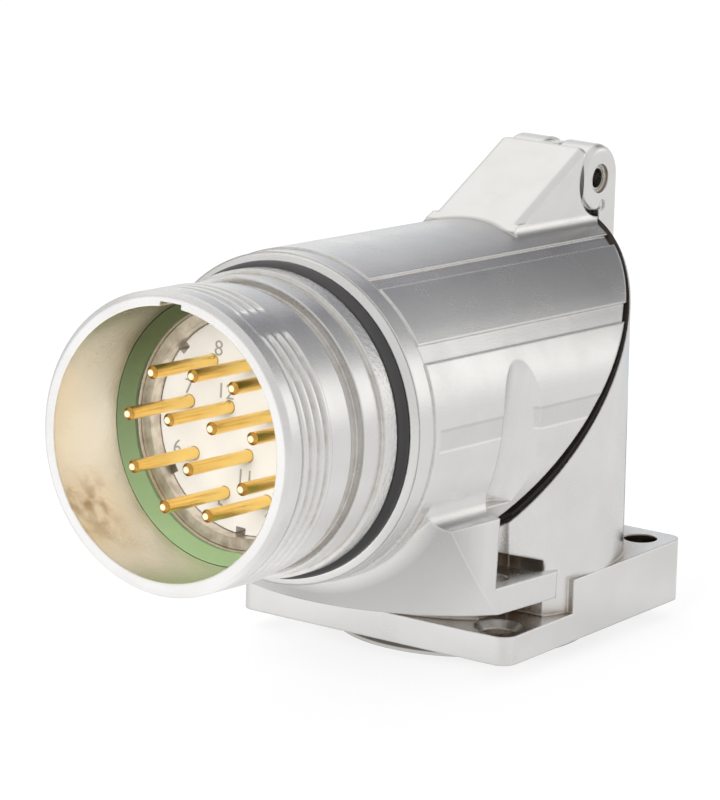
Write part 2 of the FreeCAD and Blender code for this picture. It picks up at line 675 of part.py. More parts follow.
def make_lid():
    """Casting with the barrel, the threaded end, the clamping feet and the hinge knuckle."""
    shell = make_shell()
    gusset = make_gusset()
    ramp, web, knuckle = make_ramp()
    core = document.addObject("Part::Cylinder", "BarrelCore")
    bind(core, Radius="(shell_radius + lid_cavity) / 2", Height=f"body_front + {FAR / 2}")
    place = f"placement(vector(0; {FAR / 2}; barrel_height); rotation(vector(1; 0; 0); 90))"
    bind(core, Placement=place)
    flats = [
        box(
            "LidFlat" + name, "shell_radius", f"body_front + {FAR}", "2 * shell_radius",
            start, "-body_front", "barrel_height - shell_radius",
        )
        for name, start in (
            ("Right", FLAT_PLACE), ("Left", f"-{FLAT_PLACE} - shell_radius")
        )
    ]
    ear_room = [
        at_hinge(
            "EarRoomRight", "ear_radius + hinge_gap", "knuckle_half", "ear_half + hinge_gap"
        ),
        at_hinge(
            "EarRoomLeft", "ear_radius + hinge_gap",
            "-ear_half - hinge_gap - knuckle_half", "ear_half + hinge_gap",
        ),
    ]
    pin_room = at_hinge("LidPinHole", "pin_radius + pin_slack", f"-{FAR}", f"{2 * FAR}")
    pockets = []
    for name, sign in (("Left", -1), ("Right", 1)):
        pocket = document.addObject("Part::Cylinder", "Pocket" + name)
        bind(pocket, Radius="pocket_radius", Height="3 * shell_radius")
        place = (
            f"placement(vector({sign} * pocket_x; -pocket_y; barrel_height); "
            f"rotation(vector(0; {sign}; 0); pocket_lean)) "
            "* placement(vector(0; 0; gusset_top - barrel_height); "
            "rotation(vector(1; 0; 0); 0))"
        )
        pockets.append(bind(pocket, Placement=place))
        holes_x = f"{sign} * {HOLE_PLACE}"
        hole = upright("FootHole" + name, "hole_radius", "0", "3 * foot_bottom", holes_x)
        pockets.append(bind(hole, Placement__Base__y=f"-{HOLE_PLACE}"))
    keyway = box(
        "MouthKeyway", "key_width", "rim_front - key_back + 1", "mouth_radius + key_depth",
        "-key_width / 2", "-rim_front - 1", "barrel_height",
    )
    split = beyond_split("LidSplit", "(base_split + split_gap)", False)
    barrel = cut("LidBarrel", fuse("BarrelAndRamp", shell, cut("RampShell", ramp, core)), split)
    body = fuse("LidSolid", barrel, cut("GussetShell", gusset, core))
    bored = cut("LidRelieved", body, *flats, *ear_room, *pockets)
    joined = fuse("LidJoined", bored, web, knuckle)
    lid = cut("LidDrilled", joined, pin_room, keyway, *groove_set("LidGroove", False))
    return subpart(lid, "upper_housing", LIFT)


def make_small_pieces():
    """Gasket, hinge pin and the seals."""
    subpart(make_gasket("SplitGasket", "0", "gasket_sunk", "gasket_proud"), "split_gasket")
    pin = cut(
        "HingePin",
        at_hinge("PinOuter", "pin_radius", "-ear_half + pin_inset", "2 * (ear_half - pin_inset)"),
        at_hinge("PinInner", "pin_bore", f"-{FAR}", f"{2 * FAR}"),
    )
    subpart(pin, "hinge_pin")
    seal = cut(
        "FlangeSeal",
        upright("SealOuter", "seal_radius", "-seal_below", "seal_below + seal_sunk - seat_slack"),
        upright("SealInner", "seal_neck + seat_slack", "-spigot_depth", "spigot_depth + seal_radius"),
    )
    subpart(seal, "flange_seal")
    ring = document.addObject("Part::Torus", "ORing")
    bind(ring, Radius1="o_ring_radius", Radius2="o_ring_section")
    place = (
        f"{LIFT} * placement(vector(0; -collar_front - o_ring_section - o_ring_room; "
        "barrel_height); rotation(vector(1; 0; 0); 90))"
    )
    subpart(ring, "shell_o_ring", place)


def on_barrel(item, label):
    """Place a piece drawn along local X on the lifted barrel's axis."""
    return subpart(item, label, f"{LIFT} * {ALONG_BARREL}")


def make_barrel_pieces():
    """Seal, sleeve, insert, carrier and snap ring inside the barrel."""
    on_barrel(
        turned(
            "BoreSeal",
            [
                ("seat_depth + seat_slack", "bore_seal_inner"),
                ("bore_seal_front - bore_seal_slope", "bore_seal_inner"),
                ("bore_seal_front", "bore_seal_outer"),
                ("seat_depth + seat_slack", "bore_seal_outer"),
            ],
        ),
        "bore_seal",
    )
    on_barrel(
        turned(
            "InsertSleeve",
            [
                ("sleeve_back", "sleeve_radius - sleeve_wall"),
                ("sleeve_front", "sleeve_radius - sleeve_wall"),
                ("sleeve_front", "sleeve_radius"),
                ("sleeve_back", "sleeve_radius"),
            ],
        ),
        "insert_sleeve",
    )
    insert = turned_disc("Insert", "insert_back", "insert_front")
    holes = contact_tools(
        "InsertHole", "contact_radius + seat_slack", "insert_back - 1", "insert_front + 1"
    )
    notches = []
    for number, angle in enumerate(CODING_ANGLES, start=1):
        notch = box(
            f"CodingNotch{number}", "2 * coding_depth", "sleeve_radius", "coding_width", "0", "0", "0"
        )
        place = (
            f"placement(vector(0; 0; 0); rotation(vector(1; 0; 0); {angle - 90.0})) "
            "* placement(vector(insert_front - coding_depth; "
            "sleeve_radius - sleeve_wall - coding_reach; -coding_width / 2); "
            "rotation(vector(1; 0; 0); 0))"
        )
        notches.append(bind(notch, Placement=place))
    on_barrel(cut("ContactInsert", insert, *holes, *notches), "contact_insert")
    carrier = turned_disc("Carrier", "sleeve_back + seat_slack", "insert_back - seat_slack")
    wide = contact_tools(
        "CarrierWide", "shoulder_radius + seat_slack", "shoulder_back - seat_slack", "insert_front"
    )
    narrow = contact_tools(
        "CarrierNarrow", "cup_radius + seat_slack", "contact_back", "insert_front"
    )
    on_barrel(cut("ContactCarrier", carrier, *wide, *narrow), "contact_carrier")
    ring = turned(
        "SnapRingRound",
        [
            ("sleeve_back - snap_ring_thickness", "snap_ring_radius - snap_ring_width"),
            ("sleeve_back", "snap_ring_radius - snap_ring_width"),
            ("sleeve_back", "snap_ring_radius"),
            ("sleeve_back - snap_ring_thickness", "snap_ring_radius"),
        ],
    )
    opening = box(
        "SnapRingOpening", f"{FAR}", "snap_ring_radius + 1", "snap_ring_opening",
        "0", "-snap_ring_radius - 1", "-snap_ring_opening / 2",
    )
    on_barrel(cut("SnapRing", ring, opening), "insert_retaining_ring")


def turned_disc(name, back, front):
    """A plain disc that fills the insert sleeve between two distances ahead."""
    radius = "sleeve_radius - sleeve_wall - seat_slack - seat_slack"
    return turned(name, [(back, "0"), (front, "0"), (front, radius), (back, radius)])


def contact_places():
    """Distance from the axis and angle of every contact, in the order of their numbers."""
    outer = [("outer_circle", OUTER_START - OUTER_STEP * count) for count in range(OUTER_COUNT)]
    inner = [("inner_circle", angle) for angle in INNER_ANGLES]
    return outer + [("offset_circle", OFFSET_ANGLE)] + inner


def contact_offset(circle, angle):
    """Local Y and Z of a contact, with local Y up and local Z to the left of the barrel."""
    return f"{circle} * sin({angle} * 1)", f"-{circle} * cos({angle} * 1)"


def contact_tools(name, radius, back, front):
    """One drill along the barrel for every contact."""
    drills = []
    for number, (circle, angle) in enumerate(contact_places(), start=1):
        up, left = contact_offset(circle, angle)
        drill = document.addObject("Part::Cylinder", f"{name}{number}")
        bind(drill, Radius=radius, Height=f"({front}) - ({back})")
        place = f"placement(vector({back}; {up}; {left}); rotation(vector(0; 1; 0); 90))"
        drills.append(bind(drill, Placement=place))
    return drills


def make_contacts():
    """Twelve turned contacts: pin, shoulder and open solder cup."""
    for number, (circle, angle) in enumerate(contact_places(), start=1):
        contact = turned(
            f"Contact{number}",
            [
                ("contact_back", "cup_radius - cup_wall"),
                ("contact_back + cup_depth", "cup_radius - cup_wall"),
                ("contact_back + cup_depth", "0"),
                ("contact_tip", "0"),
                ("contact_tip", "contact_radius - contact_chamfer"),
                ("contact_tip - contact_chamfer", "contact_radius"),
                ("shoulder_front", "contact_radius"),
                ("shoulder_front", "shoulder_radius"),
                ("shoulder_back", "shoulder_radius"),
                ("shoulder_back", "cup_radius"),
                ("contact_back", "cup_radius"),
            ],
        )
        up, left = contact_offset(circle, angle)
        offset = f"placement(vector(0; {up}; {left}); rotation(vector(1; 0; 0); 0))"
        subpart(contact, f"contact_pin_{number:02d}", f"{LIFT} * {ALONG_BARREL} * {offset}")


def check_and_export():
    """Stop at any failed object, then write each piece to its own file."""
    document.recompute()
    for item in document.Objects:
        if "Invalid" in item.State or "Error" in item.State:
            raise RuntimeError(f"{item.Name} failed: {item.State}")
    os.makedirs("parts", exist_ok=True)
    for item in subparts:
        shape = item.Shape
        if shape.isNull() or not shape.isValid() or not shape.Solids:
            raise RuntimeError(f"{item.Label} has no valid solid")
        shape.exportStep(f"parts/{item.Label}.step")
        print(item.Label, len(shape.Solids), round(shape.Volume, 2))


make_base()
make_lid()
make_small_pieces()
make_barrel_pieces()
make_contacts()
check_and_export()
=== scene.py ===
"""Looks of a right-angle panel connector: cast housings, thread, seals, insert and contacts.

Lengths are in metres and angles in degrees unless a docstring says otherwise. The frame
holds the housings and all moving pieces; this file gives them their finishes and adds the
thread, the contact numbers and other fine forms.
"""

from __future__ import annotations

import json
import logging
import math
from dataclasses import dataclass, field
from enum import Enum
from functools import partial, reduce

import bmesh
import bpy
from bpy.types import Material, Node, NodeTree, Object
from bpy.types import NodeSocket as Socket
from mathutils import Matrix, Vector


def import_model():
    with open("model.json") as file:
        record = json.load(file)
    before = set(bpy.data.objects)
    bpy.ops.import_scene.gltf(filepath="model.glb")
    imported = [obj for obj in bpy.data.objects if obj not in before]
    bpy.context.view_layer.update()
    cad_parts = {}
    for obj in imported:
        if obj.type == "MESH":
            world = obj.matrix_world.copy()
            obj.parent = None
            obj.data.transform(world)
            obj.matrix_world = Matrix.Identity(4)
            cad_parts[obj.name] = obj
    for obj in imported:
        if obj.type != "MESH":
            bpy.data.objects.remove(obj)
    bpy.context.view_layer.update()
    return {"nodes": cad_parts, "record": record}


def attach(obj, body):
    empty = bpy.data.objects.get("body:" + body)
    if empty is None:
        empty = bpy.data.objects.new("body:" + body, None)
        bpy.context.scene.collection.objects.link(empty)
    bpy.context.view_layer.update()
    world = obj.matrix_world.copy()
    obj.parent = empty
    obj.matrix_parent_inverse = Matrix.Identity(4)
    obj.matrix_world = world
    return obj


LOG = logging.getLogger("connector")
MM = 0.001
FULL_TURN = 360.0

Colour = tuple[float, float, float, float]
Span = tuple[float, float]
Triple = tuple[float, float, float]
Look = tuple[object, Socket]


class Body(Enum):
    """The two bodies that the hinge joins."""

    BASE = "base"
    LID = "lid"


class Slot(Enum):
    """Finishes that the record names."""

    CASTING = "nickel_casting"
    DARK_RUBBER = "dark_rubber"
    BLACK_RUBBER = "black_rubber"
    GREEN_RUBBER = "green_rubber"
    SLEEVE = "nickel_sleeve"
    INSERT = "insert_plastic"
    GOLD = "gold_contact"
    SPRING = "spring_steel"
    PIN = "steel_pin"


class Along(Enum):
    """Coordinates of a point on the barrel, by the group output that gives each one."""

    RADIUS = "Radius"
    AHEAD = "Ahead"
    ABOVE = "Above"


@dataclass(frozen=True)
class Fade:
    """A slope along one coordinate of the barrel. Places in mm, levels from 0 to 1."""

    along: Along
    start: float
    end: float
    before: float
    after: float


def rise(along: Along, start: float, end: float, level: float = 1.0) -> Fade:
    """A fade from nothing before the start to its level after the end."""
    return Fade(along, start, end, 0.0, level)


def fall(along: Along, start: float, end: float, level: float = 1.0) -> Fade:
    """A fade from its level before the start to nothing after the end."""
    return Fade(along, start, end, level, 0.0)


Zone = tuple[Fade, ...]


@dataclass(frozen=True)
class LidPlace:
    """Where the photographed lid stands: turned a little on its hinge. Lengths in mm."""

    hinge_y: float = 12.05
    hinge_z: float = 34.0
    lift: float = 3.1
    axis_height: float = 18.25

    def point(self, across: float, along: float, height: float) -> Vector:
        """Place a point of the shut lid in the frame.

        Args:
            across: distance to the right, in millimetres.
            along: distance behind the column axis, in millimetres.
            height: height above the panel, in millimetres.

        Returns:
            The point in the frame, in metres.
        """
        turn = math.radians(self.lift)
        back, up = along - self.hinge_y, height - self.hinge_z
        return Vector(
            (
                across,
                self.hinge_y + back * math.cos(turn) + up * math.sin(turn),
                self.hinge_z - back * math.sin(turn) + up * math.cos(turn),
            )
        ) * MM

    def ring_point(self, radius: float, angle: float, along: float) -> Vector:
        """Place a point of the barrel's round in the frame.

        Args:
            radius: distance from the barrel's axis, in millimetres.
            angle: turn about that axis, with 0 to the right.
            along: distance behind the column axis, in millimetres.

        Returns:
            The point in the frame, in metres.
        """
        turn = math.radians(angle)
        height = self.axis_height + radius * math.sin(turn)
        return self.point(radius * math.cos(turn), along, height)


class NodeSheet:
    """A node tree with short calls for adding and joining shader nodes."""

    def __init__(self, tree: NodeTree) -> None:
        """Keep the tree that the calls work on."""
        self.tree = tree

    def set_socket(self, socket: Socket, value: object) -> None:
        """Link an input where the value is a socket, and else set its own value.

        Args:
            socket: the input.
            value: an output socket, or the value itself.
        """
        if isinstance(value, Socket):
            self.tree.links.new(value, socket)
        else:
            socket.default_value = value

    def add(self, kind: str, **settings: object) -> Node:
        """Add a node.

        Args:
            kind: Blender's name of the node type.
            settings: attributes of the node to set.

        Returns:
            The new node.
        """
        node = self.tree.nodes.new(kind)
        for name, value in settings.items():
            setattr(node, name, value)
        return node

    def put(self, node: Node, **values: object) -> Node:
        """Set or link inputs of a node.

        Args:
            node: the node whose inputs are set.
            values: sockets or values by input name, with underscores for spaces.

        Returns:
            The same node.
        """
        for name, value in values.items():
            self.set_socket(node.inputs[name.replace("_", " ")], value)
        return node

    def math(self, operation: str, first: object, second: object = 0.0) -> Socket:
        """Work out one operation.

        Args:
            operation: Blender's name of the operation.
            first: the first number or socket.
            second: the second number or socket.

        Returns:
            The result's socket.
        """
        node = self.add("ShaderNodeMath", operation=operation)
        for socket, value in zip(node.inputs, (first, second)):
            self.set_socket(socket, value)
        return node.outputs[0]

    def product(self, *factors: object) -> Socket:
        """Multiply two or more numbers or sockets."""
        return reduce(partial(self.math, "MULTIPLY"), factors)

    def span(self, value: Socket, source: Span, target: Span) -> Socket:
        """Map a value from one span to another, clamped at both ends.

        Args:
            value: the value's socket.
            source: the span that the value runs through.
            target: the span that it is mapped to.

        Returns:
            The result's socket.
        """
        node = self.add("ShaderNodeMapRange", clamp=True)
        self.put(node, Value=value, From_Min=source[0], From_Max=source[1])
        self.put(node, To_Min=target[0], To_Max=target[1])
        return node.outputs["Result"]

    def mix(self, share: object, first: object, second: object) -> Socket:
        """Mix two colours.

        Args:
            share: the second colour's share.
            first: the first colour, as four numbers or a socket.
            second: the second colour.

        Returns:
            The mixed colour's socket.
        """
        node = self.add("ShaderNodeMix", data_type="RGBA")
        for index, value in ((0, share), (6, first), (7, second)):
            self.set_socket(node.inputs[index], value)
        return node.outputs[2]

    def noise(self, vector: Socket, size: float, detail: float = 3.0) -> Socket:
        """Noise from 0 to 1 whose spots are about a given size, in some layers of detail."""
        values = {"Vector": vector, "Scale": 1.0 / size, "Detail": detail, "Roughness": 0.5}
        return self.put(self.add("ShaderNodeTexNoise"), **values).outputs["Fac"]

    def place(self) -> Socket:
        """The place on the object, in metres."""
        return self.add("ShaderNodeTexCoord").outputs["Object"]

    def parts(self, vector: Socket) -> bpy.types.bpy_prop_collection:
        """The X, Y and Z outputs of a vector's socket."""
        return self.put(self.add("ShaderNodeSeparateXYZ"), Vector=vector).outputs


def linear(value: float) -> float:
    """Turn one display value of 0 to 255 into linear light, by the usual display curve."""
    full, knee, slope, offset, power = 255.0, 0.04045, 12.92, 0.055, 2.4
    share = value / full
    return share / slope if share <= knee else ((share + offset) / (1.0 + offset)) ** power


def shade(red: float, green: float, blue: float) -> Colour:
    """Turn three display values of 0 to 255 into a linear colour with full alpha."""
    return (linear(red), linear(green), linear(blue), 1.0)


def new_group(name: str, inputs: dict[str, float], outputs: dict[str, str]) -> NodeSheet:
    """Start a shader node group with named sockets.

    Args:
        name: the group's name.
        inputs: each input's name and its value when nothing is set.
        outputs: each output's name and its socket type.

    Returns:
        The group's node sheet.
    """
    tree = bpy.data.node_groups.new(name, "ShaderNodeTree")
    for title, value in inputs.items():
        socket = tree.interface.new_socket(title, in_out="INPUT", socket_type="NodeSocketFloat")
        socket.default_value = value
    for title, kind in outputs.items():
        tree.interface.new_socket(title, in_out="OUTPUT", socket_type=kind)
    return NodeSheet(tree)


class SharedEffects:
    """Node groups that several finishes place with their own values."""

    def __init__(self) -> None:
        """Build every group once."""
        self.edge_wear_and_highlight = self._edge_wear_and_highlight()
        self.grain = self._grain()
        self.stain = self._stain()
        self.crevice = self._crevice()
        self.barrel_place = self._barrel_place(LidPlace())

    def _edge_wear_and_highlight(self) -> NodeTree:
        """Mask of sharp edges, from the turn between true and rounded normals.

        Returns:
            The group, which also puts out the rounded normal.
        """
        sheet = new_group(
            "EdgeWearAndHighlight",
            {"Radius": 0.0002, "Reach": 0.12},
            {"Mask": "NodeSocketFloat", "Normal": "NodeSocketVector"},
        )
        start = sheet.add("NodeGroupInput")
        end = sheet.add("NodeGroupOutput")
        bevel = sheet.add("ShaderNodeBevel", samples=6)
        sheet.put(bevel, Radius=start.outputs["Radius"])
        geometry = sheet.add("ShaderNodeNewGeometry")
        dot = sheet.add("ShaderNodeVectorMath", operation="DOT_PRODUCT")
        sheet.set_socket(dot.inputs[0], bevel.outputs["Normal"])
        sheet.set_socket(dot.inputs[1], geometry.outputs["Normal"])
        turn = sheet.math("SUBTRACT", 1.0, dot.outputs["Value"])
        share = sheet.math("DIVIDE", turn, start.outputs["Reach"])
        mask = sheet.math("MINIMUM", share, 1.0)
        sheet.put(end, Mask=mask, Normal=bevel.outputs["Normal"])
        return sheet.tree

    def _grain(self) -> NodeTree:
        """Height of a cast, blasted or moulded grain: fine spots on broad soft waves.

        Returns:
            The group.
        """
        sheet = new_group(
            "SurfaceGrain",
            {"Fine": 0.00012, "Broad": 0.0015, "Share": 0.35},
            {"Height": "NodeSocketFloat"},
        )
        start = sheet.add("NodeGroupInput")
        end = sheet.add("NodeGroupOutput")
        place = sheet.place()
        heights = []
        for name in ("Fine", "Broad"):
            scale = sheet.math("DIVIDE", 1.0, start.outputs[name])
            node = sheet.add("ShaderNodeTexNoise")
            sheet.put(node, Vector=place, Scale=scale, Detail=2.0)
            heights.append(node.outputs["Fac"])
        broad = sheet.product(heights[1], start.outputs["Share"])
        sheet.put(end, Height=sheet.math("ADD", heights[0], broad))
        return sheet.tree

    def _stain(self) -> NodeTree:
        """Uneven mask for tarnish, dust or handling marks.

        Returns:
            The group.
        """
        sheet = new_group(
            "Stain",
            {"Size": 0.004, "Cover": 0.5, "Softness": 0.15},
            {"Mask": "NodeSocketFloat"},
        )
        start = sheet.add("NodeGroupInput")
        end = sheet.add("NodeGroupOutput")
        scale = sheet.math("DIVIDE", 1.0, start.outputs["Size"])
        node = sheet.add("ShaderNodeTexNoise")
        sheet.put(node, Vector=sheet.place(), Scale=scale, Detail=4.0)
        low = sheet.math("SUBTRACT", 1.0, start.outputs["Cover"])
        high = sheet.math("ADD", low, start.outputs["Softness"])
        mapping = sheet.add("ShaderNodeMapRange", clamp=True)
        sheet.put(mapping, Value=node.outputs["Fac"], From_Min=low, From_Max=high)
        sheet.put(end, Mask=mapping.outputs["Result"])
        return sheet.tree

    def _crevice(self) -> NodeTree:
        """Mask of inner corners where dirt and tarnish gather and where shade falls, used for
        tarnish and for painted shade.

        Returns:
            The group.
        """
        sheet = new_group("Crevice", {"Reach": 0.0008}, {"Mask": "NodeSocketFloat"})
        start = sheet.add("NodeGroupInput")
        end = sheet.add("NodeGroupOutput")
        cover = sheet.add("ShaderNodeAmbientOcclusion", samples=6, only_local=True)
        sheet.put(cover, Distance=start.outputs["Reach"])
        sheet.put(end, Mask=sheet.span(cover.outputs["AO"], (0.35, 0.85), (1.0, 0.0)))
        return sheet.tree

    def _barrel_place(self, lid: LidPlace) -> NodeTree:
        """Coordinates on the barrel, in metres, as it stands in the photograph.

        Args:
            lid: where the lid stands.

        Returns:
            The group: distance from the barrel's axis, distance ahead of the column axis
            and height above the barrel's axis.
        """
        sheet = new_group("BarrelPlace", {}, {name.value: "NodeSocketFloat" for name in Along})
        end = sheet.add("NodeGroupOutput")
        turn = sheet.add("ShaderNodeVectorRotate", rotation_type="X_AXIS")
        middle = (0.0, lid.hinge_y * MM, lid.hinge_z * MM)
        sheet.put(turn, Vector=sheet.place(), Center=middle, Angle=math.radians(lid.lift))
        parts = sheet.parts(turn.outputs["Vector"])
        above = sheet.math("SUBTRACT", parts["Z"], lid.axis_height * MM)
        squares = [sheet.math("POWER", part, 2.0) for part in (parts["X"], above)]
        radius = sheet.math("SQRT", sheet.math("ADD", squares[0], squares[1]))
        sheet.put(end, Radius=radius, Ahead=sheet.product(parts["Y"], -1.0), Above=above)
        return sheet.tree


@dataclass(frozen=True)
class Grain:
    """A surface's grain: the sizes of its spots and waves, and the waves' share."""

    fine: float
    broad: float
    share: float


@dataclass(frozen=True)
class Stains:
    """A surface's stains: their size, how much they cover, how soft and how strong."""

    size: float
    cover: float
    softness: float
    share: float


class Finish:
    """A material being made: its node sheet, its surface shader and the shared effects."""

    def __init__(self, name: str, effects: SharedEffects) -> None:
        """Start a material whose surface is a plain Principled shader.

        Args:
            name: the material's name.
            effects: the shared node groups.
        """
        self.material = bpy.data.materials.new(name)
        self.material.use_nodes = True
        self.effects = effects
        self.sheet = NodeSheet(self.material.node_tree)
        self.surface = self.material.node_tree.nodes["Principled BSDF"]
        self.place = self.sheet.place()
        self._barrel: Node | None = None

    def group(self, tree: NodeTree, **values: object) -> Node:
        """Place a shared effect with its own values."""
        node = self.sheet.add("ShaderNodeGroup", node_tree=tree)
        return self.sheet.put(node, **values)

    def grain(self, grain: Grain) -> Socket:
        """Place the grain and return its height's socket."""
        values = {"Fine": grain.fine, "Broad": grain.broad, "Share": grain.share}
        return self.group(self.effects.grain, **values).outputs["Height"]

    def stained(self, stains: Stains, colour: Colour, second: Colour) -> Socket:
        """Mix a second colour in where stains lie.

        Args:
            stains: the stains.
            colour: the colour of the clean surface.
            second: the colour of the stains.

        Returns:
            The colour's socket.
        """
        values = {"Size": stains.size, "Cover": stains.cover, "Softness": stains.softness}
        mask = self.group(self.effects.stain, **values).outputs["Mask"]
        return self.sheet.mix(self.sheet.product(mask, stains.share), colour, second)

    def zone(self, *fades: Fade) -> Socket:
        """Mask of a zone of the barrel.

        Args:
            fades: the slopes whose product bounds the zone.

        Returns:
            The mask's socket.
        """
        if self._barrel is None:
            self._barrel = self.group(self.effects.barrel_place)
        masks = []
        for fade in fades:
            value = self._barrel.outputs[fade.along.value]
            source = (fade.start * MM, fade.end * MM)
            masks.append(self.sheet.span(value, source, (fade.before, fade.after)))
        return self.sheet.product(*masks)

    def bump(self, height: Socket, depth: float, normal: Socket) -> Socket:
        """Put a height on a normal, with the depth that a height of 1 stands for."""
        values = {"Height": height, "Distance": depth, "Strength": 1.0, "Normal": normal}
        return self.sheet.put(self.sheet.add("ShaderNodeBump"), **values).outputs["Normal"]


@dataclass(frozen=True)
class CastNickel:
    """Satin nickel plating on a die casting, with bright edges that are part rubbed plating and part
    painted highlight, faint tarnish, and painted shade in recessed places.
    """

    name: str = "SatinNickelCasting"
    colour: Colour = (0.84, 0.835, 0.825, 1.0)
    # edge colour: partly rubbed plating, partly a painted highlight on the edges
    wear_and_highlight: Colour = (0.96, 0.955, 0.94, 1.0)
    tarnish: Colour = (0.50, 0.43, 0.34, 1.0)
    # painted shade: dark brown mixed into recessed places by a wide occlusion mask
    recess_shade: Colour = (0.26, 0.19, 0.12, 1.0)
    grain: Grain = Grain(0.0001, 0.0025, 0.6)
    grain_depth: float = 0.000013
    speckle: float = 0.00013
    speckle_span: Span = (0.35, 0.6)
    speckle_share: float = 0.07
    cloud: float = 0.0035
    cloud_span: Span = (0.45, 0.75)
    cloud_share: float = 0.08
    corner_reach: float = 0.0009
    corner_span: Span = (0.4, 0.7)
    corner_shares: Span = (0.05, 0.7)
    recess_shade_reach: float = 0.0045
    recess_shade_share: float = 0.9
    edge: float = 0.00026
    edge_reach: float = 0.12
    edge_share: float = 0.4
    roughness: float = 0.21
    noise_span: Span = (0.3, 0.7)
    rougher: Span = (-0.02, 0.04)

    def make(self, effects: SharedEffects) -> Material:
        """Build the material.

        Args:
            effects: the shared node groups.

        Returns:
            The material.
        """
        finish = Finish(self.name, effects)
        sheet = finish.sheet
        colour, height = self.place_wear(finish, self.colour, finish.grain(self.grain))
        speckle = sheet.noise(finish.place, self.speckle, detail=2.0)
        spots = sheet.span(speckle, self.speckle_span, (self.speckle_share, 0.0))
        colour = sheet.mix(spots, colour, self.tarnish)
        cloud = sheet.noise(finish.place, self.cloud, detail=2.0)
        faint = sheet.span(cloud, self.cloud_span, (0.0, self.cloud_share))
        colour = sheet.mix(faint, colour, self.tarnish)
        corners = finish.group(effects.crevice, Reach=self.corner_reach).outputs["Mask"]
        patches = sheet.noise(finish.place, self.corner_reach)
        patches = sheet.span(patches, self.corner_span, self.corner_shares)
        colour = sheet.mix(sheet.product(corners, patches), colour, self.tarnish)
        # painted shade: darken recessed places by a wide occlusion mask
        recess_shade_mask = finish.group(effects.crevice, Reach=self.recess_shade_reach).outputs["Mask"]
        colour = sheet.mix(sheet.product(recess_shade_mask, self.recess_shade_share), colour, self.recess_shade)
        edge_group = finish.group(effects.edge_wear_and_highlight, Radius=self.edge, Reach=self.edge_reach).outputs
        # partly rubbed plating, partly a painted highlight: lighten the sharp edges
        colour = sheet.mix(sheet.product(edge_group["Mask"], self.edge_share), colour, self.wear_and_highlight)
        target = (self.roughness + self.rougher[0], self.roughness + self.rougher[1])
        rough = sheet.span(cloud, self.noise_span, target)
        rough = sheet.math("ADD", rough, sheet.span(speckle, self.noise_span, self.rougher))
        normal = finish.bump(height, self.grain_depth, edge_group["Normal"])
        surface = finish.surface
        sheet.put(surface, Base_Color=colour, Metallic=1.0, Roughness=rough, Normal=normal)
        return finish.material

    def place_wear(self, finish: Finish, colour: object, height: Socket) -> Look:
        """Colour and grain by place; a plain casting has the same ones everywhere."""
        return colour, height


